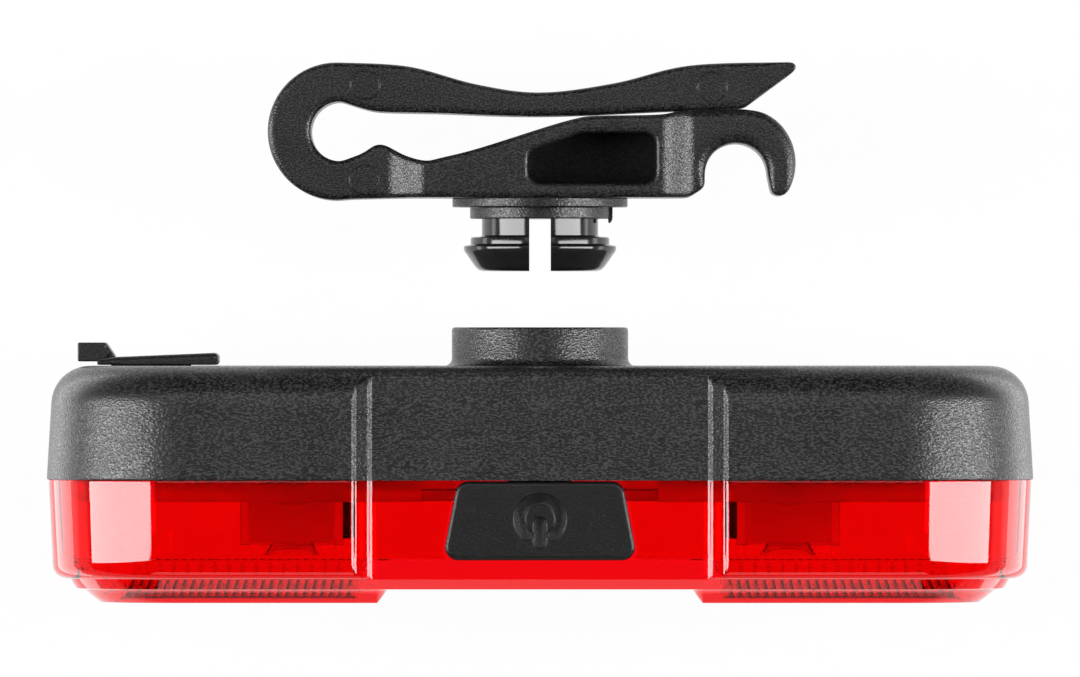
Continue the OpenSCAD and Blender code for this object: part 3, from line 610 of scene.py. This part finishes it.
def arc_line(centre, r, start, stop, steps):
    """Points on an arc, from one angle to another, in degrees."""
    turn = [math.radians(start + (stop - start) * k / steps) for k in range(steps + 1)]
    return [Vector((centre[0] + r * math.cos(a), centre[1] + r * math.sin(a))) for a in turn]


def button_face(p):
    return button_top - (seam_y - p.y) * lens_draft


sign_y = -17.8
sign_arc = arc_line((0, sign_y), 2.43, -50, 230, 40) + arc_line(
    (1.9 * math.cos(math.radians(230)), sign_y + 1.9 * math.sin(math.radians(230))), 0.53, 230, 410, 8) + arc_line(
    (0, sign_y), 1.37, 230, -50, 30) + arc_line(
    (1.9 * math.cos(math.radians(-50)), sign_y + 1.9 * math.sin(math.radians(-50))), 0.53, 130, 310, 8)
sign_bar = arc_line((0, sign_y - 0.35), 0.6, 0, 180, 8) + arc_line((0, sign_y - 2.1), 0.6, 180, 360, 8)
shape = bmesh.new()
rounded_slab(shape, even_outline(rounded_corners(button_line, 1.2), 0.2), button_face, lambda p: 15.0, 0.35,
             [(even_outline(line, 0.11), lambda p: button_face(p) - 0.3, 0.1) for line in (sign_arc, sign_bar)])


def blasted_finish(name, colour, grain, depth):
    """Blasted rubber: coarse sharp grain whose tips are smoother and painted nine times lighter as painted glints."""
    f = Finish(name)
    height = f.noise(grain, 3.0, 0.7)
    tips = f.limits(height, 0.58, 0.7)
    # The tips' lighter base colour is a painted glint.
    base = f.mix(tips, list(colour) + [1], [c * 9 for c in colour] + [1])
    bump = f.node("ShaderNodeBump", (), {"Height": height, "Distance": depth / 1000, "Strength": 1.0})
    return f.surface(f.node("ShaderNodeBsdfPrincipled", (), {
        "Base Color": base, "Roughness": f.limits(tips, 0, 1, 0.36, 0.22), "Normal": bump}))


button_black = blasted_finish("button_blasted", (0.003, 0.003, 0.0032), 0.26, 0.05)
button = finish_mesh("button_key", shape, button_black, 40)
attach(button, "button")
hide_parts("power_button")

# Spring clip
# One black nylon moulding: a base with a hook at its nose, a loop that acts as the spring, and an
# upper arm that closes on the base. The loop's outer half bends with the arm, so it belongs to it.
seat_y = 11.2
loop_x, loop_y, loop_r, hole_r = -18.98, 7.08, 6.43, 2.81
hole = (loop_x + 0.38, loop_y)
flange_t, nose_x = 0.9, 23.85
arch = (18.3, 3.05)
arch_r = 2.93


def smooth_run(points, steps=6):
    """A smooth run through the given points."""
    points = [Vector(p) for p in points]
    out = []
    for i in range(len(points) - 1):
        p, q = points[max(i - 1, 0)], points[i]
        s, u = points[i + 1], points[min(i + 2, len(points) - 1)]
        for t in (k / steps for k in range(steps)):
            out.append(0.5 * (2 * q + (s - p) * t + (2 * p - 5 * q + 4 * s - u) * t * t
                              + (3 * q - p - 3 * s + u) * t * t * t))
    return out + [points[-1]]


def pinch_y(x):
    return loop_y + 1.45 + 0.04 * x


arm_top = [(loop_x, loop_y + loop_r), (-12.3, loop_y + 6.06), (-6, loop_y + 4.4), (0, loop_y + 3.62),
           (7, loop_y + 4.5), (14, loop_y + 6.15), (nose_x - 0.4, loop_y + 6.45)]
arm_under = [(19.1, pinch_y(19.1)), (12, pinch_y(12)), (0, loop_y + 1.44), (-9.4, loop_y + 1.7),
             (-14.6, loop_y + 1.82), (-16.4, loop_y + 2.1), (hole[0], loop_y + hole_r)]
base_top = [(hole[0], loop_y - hole_r), (-16.6, loop_y - 2.06), (-14.9, loop_y - 1.19), (-12.6, loop_y - 2.25),
            (-10.7, loop_y - 2.76), (-9.3, loop_y - 2.5), (-5.7, loop_y - 1.6), (1, loop_y + 0.52),
            (3.6, loop_y + 1.22), (5.2, loop_y + 1.42), (11, pinch_y(11) - 0.36), (12.6, pinch_y(12.6) - 0.12)]
nose = [(18.8, pinch_y(18.8) - 0.12), (20.8, loop_y + 1.75), (22.4, loop_y + 0.7), (nose_x - 0.4, loop_y - 0.9),
        (nose_x, loop_y - 2.6), (nose_x - 0.15, flange_t + 1.9), (nose_x - 0.7, flange_t + 0.5)]
foot = [(arch[0] + arch_r + 1.3, flange_t + 0.1), (arch[0] + arch_r + 0.4, flange_t + 0.3)]
sole = [(arch[0] - arch_r, flange_t + 0.95), (arch[0] - arch_r - 1.5, flange_t), (-12, flange_t),
        (loop_x + 1.5, loop_y - loop_r + 0.12)]
clip_line = (arc_line((loop_x, loop_y), loop_r, 270, 96, 40) + smooth_run(arm_top)
             + arc_line((nose_x - 0.35, loop_y + 6), 0.45, 80, -45, 5) + smooth_run(arm_under)
             + arc_line(hole, hole_r, 98, 262, 24) + smooth_run(base_top) + smooth_run(nose)
             + [Vector(p) for p in foot] + arc_line(arch, arch_r, 0, 180, 24) + [Vector(p) for p in sole])
clip_line = even_outline([p + Vector((0, seat_y)) for p in clip_line], 0.28, 2)


def in_base(p):
    return p.x > loop_x and p.y < seat_y + pinch_y(p.x) - 0.06


def clip_half(p):
    wide = ease(p.x, -14.3, -10.6) - ease(p.x, 11.3, 14.5)
    return 6 + (2 * wide if in_base(p) else 0)


def clip_edge(p):
    if in_base(p):
        return 0.5 + 0.4 * ease(p.x, 12.5, 16) * ease(p.y, seat_y + 1.6, seat_y + 4.0)
    return 0.55 - 0.35 * ease(p.x, 20.5, 22.8)


pocket = even_outline(rounded_corners([(-1.1, seat_y + 2.2), (10.8, seat_y + 2.2), (10.8, seat_y + 6.98),
                                       (4, seat_y + 6.98), (-1.1, seat_y + 5.18)], 1.1), 0.2)
folds = [-14.3 + 3.7 * k / 12 for k in range(13)] + [11.3 + 3.2 * k / 10 for k in range(11)]
clip = bmesh.new()
rounded_slab(clip, clip_line, clip_half, lambda p: -clip_half(p), clip_edge,
             [(pocket, lambda p: 0.8, 0.4)], [(pocket, lambda p: -0.8, 0.4)], folds)
low_loop = [f for f in clip.faces if f.calc_center_median().y < seat_y + loop_y]
near = list({e for f in low_loop for e in f.edges}) + list({v for f in low_loop for v in f.verts})
bmesh.ops.bisect_plane(clip, geom=low_loop + near, plane_co=(loop_x, 0, 0), plane_no=(1, 0, 0))


def half_of_clip(base):
    """A copy of the clip with only the faces of its base, or only those of its arm, closed at the cut."""
    part = clip.copy()
    gone = [f for f in part.faces if in_base(f.calc_center_median()) != base]
    bmesh.ops.delete(part, geom=gone, context="FACES")
    bmesh.ops.holes_fill(part, edges=[e for e in part.edges if e.is_boundary], sides=0)
    return part


def lathe(shape, profile, steps=72, base_y=0.0):
    """A body turned about the plug's axis from its radii and heights."""
    turn = [2 * math.pi * k / steps for k in range(steps)]
    made = skin(shape, [[Vector((r * math.cos(a), base_y + y, r * math.sin(a))) for a in turn] for r, y in profile])
    shape.faces.new(made[0])
    shape.faces.new(made[-1])


def ejector_rings(f):
    """Witness lines of the ejector pins: thin raised rings on the clip's sides."""
    line = None
    for x, y in ((-16.31, 22.6), (-16.36, 13.75), (16.07, 22.4)):
        spot = f.node("ShaderNodeMapping", {"vector_type": "POINT"}, {
            "Vector": f.place(), "Location": (-x / 1000, -y / 1000, 0), "Scale": (1, 1, 0)})
        far = f.node("ShaderNodeVectorMath", {"operation": "LENGTH"}, {0: spot}, "Value")
        off = (far - 0.00136).maths("ABSOLUTE")
        ring = f.limits(off, 0.00003, 0.00010, 1.6, 0.0)
        line = ring if line is None else line + ring
    return line


def painted_pocket_shade(f):
    """Mask of the deep pocket, whose inside gets painted shade (a near-black base colour) and a higher roughness, so
    that it hardly shines.
    """
    x, y, z = (f.node("ShaderNodeSeparateXYZ", (), {0: f.place()}, axis) for axis in "XYZ")
    inside = f.limits((x - 0.00485).maths("ABSOLUTE"), 0.0059, 0.0063, 1.0, 0.0)
    inside = inside * f.limits((y - 0.0158).maths("ABSOLUTE"), 0.0026, 0.0029, 1.0, 0.0)
    return inside * f.limits(z.maths("ABSOLUTE"), 0.0066, 0.0074, 1.0, 0.0)


clip_black = moulded_finish("clip_nylon", (0.007, 0.007, 0.0072), 0.28, 0.15, 0.045, 0.7, ejector_rings, painted_pocket_shade)
base = half_of_clip(True)
lathe(base, [(1.0, 0.95), (7.9, 0.95), (8.12, 0.9), (8.2, 0.8), (8.2, 0.12), (8.1, 0.03), (6.62, 0.03), (6.55, -0.05),
             (6.55, -0.95), (6.45, -1.05), (1.0, -1.05)], 72, seat_y)
key = even_outline([(6.38, seat_y - 1.4), (6.38, seat_y + 0.2), (6.8, seat_y + 0.2), (6.8, seat_y - 1.1),
                    (6.56, seat_y - 1.48)], 0.1, 1)
rounded_slab(base, key, lambda p: 0.8, lambda p: -0.8, 0.06)
clip_base = finish_mesh("clip_base_hook", base, clip_black, 35)
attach(clip_base, "clip")
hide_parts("clip_base")
clip_arm = finish_mesh("clip_arm_loop", half_of_clip(False), clip_black, 35)
clip.free()
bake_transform(clip_arm)
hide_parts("clip_arm")

# Snap prongs
# The split end of the clip's plug: a smooth neck and a glossy bulged head in two halves, which
# spring together as they pass the lip in the socket.
shape = bmesh.new()
for side in (-1, 1):
    half = bmesh.new()
    lathe(half, [(0.5, -1.0), (5.45, -1.0), (5.45, -2.6), (5.6, -2.72), (6.3, -2.75), (6.47, -2.82), (6.5, -2.95),
                 (6.5, -3.4), (6.62, -3.5), (7.0, -3.55), (7.13, -3.65), (7.15, -3.8), (7.08, -4.1), (6.9, -4.35),
                 (6.1, -5.5), (5.8, -5.8), (5.4, -5.95), (0.5, -5.95)], 96, seat_y)
    whole = list(half.verts) + list(half.edges) + list(half.faces)
    bmesh.ops.bisect_plane(half, geom=whole, plane_co=(side, 0, 0), plane_no=(-side, 0, 0), clear_outer=True)
    rim = [e for e in half.edges if e.is_boundary]
    bmesh.ops.contextual_create(half, geom=rim)
    temporary = bpy.data.meshes.new("prong")
    half.to_mesh(temporary)
    half.free()
    shape.from_mesh(temporary)
    bpy.data.meshes.remove(temporary)


def polished_finish(name, colour, rough):
    """Moulded plastic from a polished part of the mould: smooth, with faint draw marks along the axis."""
    f = Finish(name)
    draw = f.node("ShaderNodeMapping", {"vector_type": "POINT"}, {"Vector": f.place(), "Scale": (1, 0.08, 1)})
    lines = f.noise(0.25, 2, 0.6, draw)
    base = f.mix(f.limits(lines, 0.3, 0.7), [c * 0.85 for c in colour] + [1], [c * 1.2 for c in colour] + [1])
    bump = f.node("ShaderNodeBump", (), {"Height": lines, "Distance": 0.000006, "Strength": 0.5})
    return f.surface(f.node("ShaderNodeBsdfPrincipled", (), {
        "Base Color": base, "Roughness": f.limits(lines, 0.2, 0.8, rough, rough + 0.08), "Normal": bump}))


prongs = finish_mesh("plug_prongs", shape, polished_finish("prong_gloss", (0.012, 0.012, 0.0125), 0.08), 35)
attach(prongs, "clip")
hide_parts("snap_prongs")

# Inner pieces
# The white bezel and lamp cups, the board and what stands on it keep their solids, with finishes of
# their own; they show through the red lens and when the pieces are taken apart.


def dress(material, *names):
    for name in names:
        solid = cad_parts[name]
        solid.data.materials.clear()
        solid.data.materials.append(material)


def speckled_finish(name, first, second, grain, rough, metal=0.0, depth=0.004):
    """A plain moulded, plated or printed surface with fine colour speckle and texture."""
    f = Finish(name)
    speck = f.limits(f.noise(grain, 3.0, 0.6), 0.32, 0.68)
    bump = f.node("ShaderNodeBump", (), {"Height": speck, "Distance": depth / 1000, "Strength": 0.6})
    return f.surface(f.node("ShaderNodeBsdfPrincipled", (), {
        "Base Color": f.mix(speck, list(first) + [1], list(second) + [1]), "Metallic": metal,
        "Roughness": f.limits(speck, 0, 1, rough, rough + 0.12), "Normal": bump}))


white = speckled_finish("bezel_white", (0.74, 0.73, 0.70), (0.82, 0.81, 0.79), 0.5, 0.36)
dress(white, "switch_plunger")
dress(lens_finish("bezel_milky", (0.97, 0.96, 0.94), 0.4, 1.15, clear=0.7), "inner_bezel")
dress(lens_finish("cup_milky", (0.97, 0.96, 0.95), 0.12, 1.12, clear=0.8), "lamp_cup_left", "lamp_cup_right", "led_left", "led_right")
dress(speckled_finish("seal_black", (0.018, 0.018, 0.018), (0.03, 0.03, 0.03), 0.3, 0.6), "lens_seal")
dress(speckled_finish("board_green", (0.012, 0.10, 0.035), (0.02, 0.16, 0.055), 0.8, 0.3), "circuit_board")
dress(speckled_finish("plated_steel", (0.5, 0.51, 0.53), (0.66, 0.67, 0.69), 0.15, 0.26, 1.0),
      "board_screws", "battery_tabs", "usb_socket_shell")
dress(speckled_finish("chip_epoxy", (0.012, 0.012, 0.013), (0.024, 0.024, 0.026), 0.12, 0.45),
      "usb_socket_tongue", "tact_switch_body", "controller_chip")
dress(speckled_finish("chip_ceramic", (0.26, 0.18, 0.10), (0.4, 0.3, 0.19), 0.2, 0.4), "chip_parts")
dress(speckled_finish("cell_foil", (0.42, 0.46, 0.52), (0.6, 0.64, 0.7), 0.7, 0.3, 1.0), "battery_cell")
dress(speckled_finish("pad_foam", (0.06, 0.06, 0.065), (0.14, 0.14, 0.15), 0.35, 0.85, 0.0, 0.05), "battery_pad")
dress(lens_finish("guide_clear", (0.97, 0.98, 0.98), 0.02, 1.1), "collimator_left", "collimator_right",
      "charge_led")

# Reflex plates
# A red plate behind each lobe's front, its back a field of small pyramids that throw light back.
reflex_red = lens_finish("reflex_red", (0.9, 0.002, 0.006), 0.03)


def pyramid_field():
    """Node tree: a grid of square pyramids standing along +Y on a plate's back."""
    tree = bpy.data.node_groups.new("pyramid_field", "GeometryNodeTree")
    tree.interface.new_socket("Geometry", in_out="OUTPUT", socket_type="NodeSocketGeometry")
    sockets = {}
    for name, kind, value in (("Length", "NodeSocketFloat", 0.024), ("Width", "NodeSocketFloat", 0.022),
                              ("Columns", "NodeSocketInt", 36), ("Rows", "NodeSocketInt", 32),
                              ("Radius", "NodeSocketFloat", 0.00046), ("Height", "NodeSocketFloat", 0.0006),
                              ("Place", "NodeSocketVector", (0, 0, 0)), ("Finish", "NodeSocketMaterial", None)):
        made = tree.interface.new_socket(name, in_out="INPUT", socket_type=kind)
        if value is not None:
            made.default_value = value
        sockets[name] = made.identifier
    give = tree.nodes.new("NodeGroupInput")
    grid = tree.nodes.new("GeometryNodeMeshGrid")
    cone = tree.nodes.new("GeometryNodeMeshCone")
    cone.inputs["Vertices"].default_value = 4
    cone.inputs["Radius Top"].default_value = 0.0
    stand = tree.nodes.new("GeometryNodeTransform")
    stand.inputs["Rotation"].default_value = (-math.pi / 2, 0, 0)
    copies = tree.nodes.new("GeometryNodeInstanceOnPoints")
    copies.inputs["Rotation"].default_value = (0, 0, math.pi / 4)
    real = tree.nodes.new("GeometryNodeRealizeInstances")
    paint = tree.nodes.new("GeometryNodeSetMaterial")
    take = tree.nodes.new("NodeGroupOutput")
    link = tree.links.new
    for name, end in (("Length", grid.inputs["Size X"]), ("Width", grid.inputs["Size Y"]),
                      ("Columns", grid.inputs["Vertices X"]), ("Rows", grid.inputs["Vertices Y"]),
                      ("Radius", cone.inputs["Radius Bottom"]), ("Height", cone.inputs["Depth"]),
                      ("Place", stand.inputs["Translation"]), ("Finish", paint.inputs["Material"])):
        link(give.outputs[name], end)
    link(grid.outputs["Mesh"], copies.inputs["Points"])
    link(cone.outputs["Mesh"], copies.inputs["Instance"])
    link(copies.outputs["Instances"], stand.inputs["Geometry"])
    link(stand.outputs["Geometry"], real.inputs["Geometry"])
    link(real.outputs["Geometry"], paint.inputs["Geometry"])
    link(paint.outputs["Geometry"], take.inputs[0])
    return tree, sockets


field, field_sockets = pyramid_field()
for side, name in ((-1, "left"), (1, "right")):
    plate = bmesh.new()
    line = rounded_corners([(17.2 * side, -11.0), (38.9 * side, -11.0), (38.9 * side, 11.0), (17.2 * side, 11.0)], 3)
    rounded_slab(plate, even_outline(line, 0.8), lambda p: 24.98, lambda p: 24.82, 0.05)
    bmesh.ops.transform(plate, verts=plate.verts, matrix=Matrix(((1, 0, 0, 0), (0, 0, -1, 0), (0, 1, 0, 0), (0, 0, 0, 1))))
    reflex = finish_mesh("reflex_plate_" + name, plate, reflex_red, 35)
    both = bmesh.new()
    both.from_mesh(reflex.data)
    for wide, deep, columns, rows, radius, high, y in ((0.0204, 0.0197, 26, 25, 0.00036, 0.0007, -0.02485),
                                                       (0.0208, 0.0244, 17, 2, 0.00032, 0.0006, -0.02425)):
        holder = bpy.data.objects.new("holder", bpy.data.meshes.new("holder"))
        bpy.context.scene.collection.objects.link(holder)
        grow = holder.modifiers.new("field", "NODES")
        grow.node_group = field
        for key, value in (("Length", wide), ("Width", deep), ("Columns", columns), ("Rows", rows), ("Radius", radius),
                           ("Height", high), ("Place", (side * 0.02805, y, 0)), ("Finish", reflex_red)):
            grow[field_sockets[key]] = value
        grown = bpy.data.meshes.new_from_object(holder.evaluated_get(bpy.context.evaluated_depsgraph_get()))
        bpy.data.objects.remove(holder)
        both.from_mesh(grown)
    both.to_mesh(reflex.data)
    both.free()
    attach(reflex, "light")
    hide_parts("prism_plate_" + name)

# Dark blades
# Two thin black blades on the bezel's front, at the waist's ends, that stand as dark bars behind the lens beside the
# button.
shape = bmesh.new()
for side in (-1, 1):
    blade = [(17.62 * side, 9.0), (18.3 * side, 9.0), (18.3 * side, 15.2), (17.62 * side, 15.2)]
    part = bmesh.new()
    rounded_slab(part, even_outline(blade, 0.25), lambda p: 19.6, lambda p: 16.15, 0.1)
    bmesh.ops.transform(part, verts=part.verts, matrix=Matrix(((1, 0, 0, 0), (0, 0, -1, 0), (0, 1, 0, 0), (0, 0, 0, 1))))
    temporary = bpy.data.meshes.new("blade")
    part.to_mesh(temporary)
    part.free()
    shape.from_mesh(temporary)
    bpy.data.meshes.remove(temporary)
blade_pair = finish_mesh("dark_blades", shape, polished_finish("blade_black", (0.006, 0.006, 0.006), 0.5), 35)
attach(blade_pair, "light")
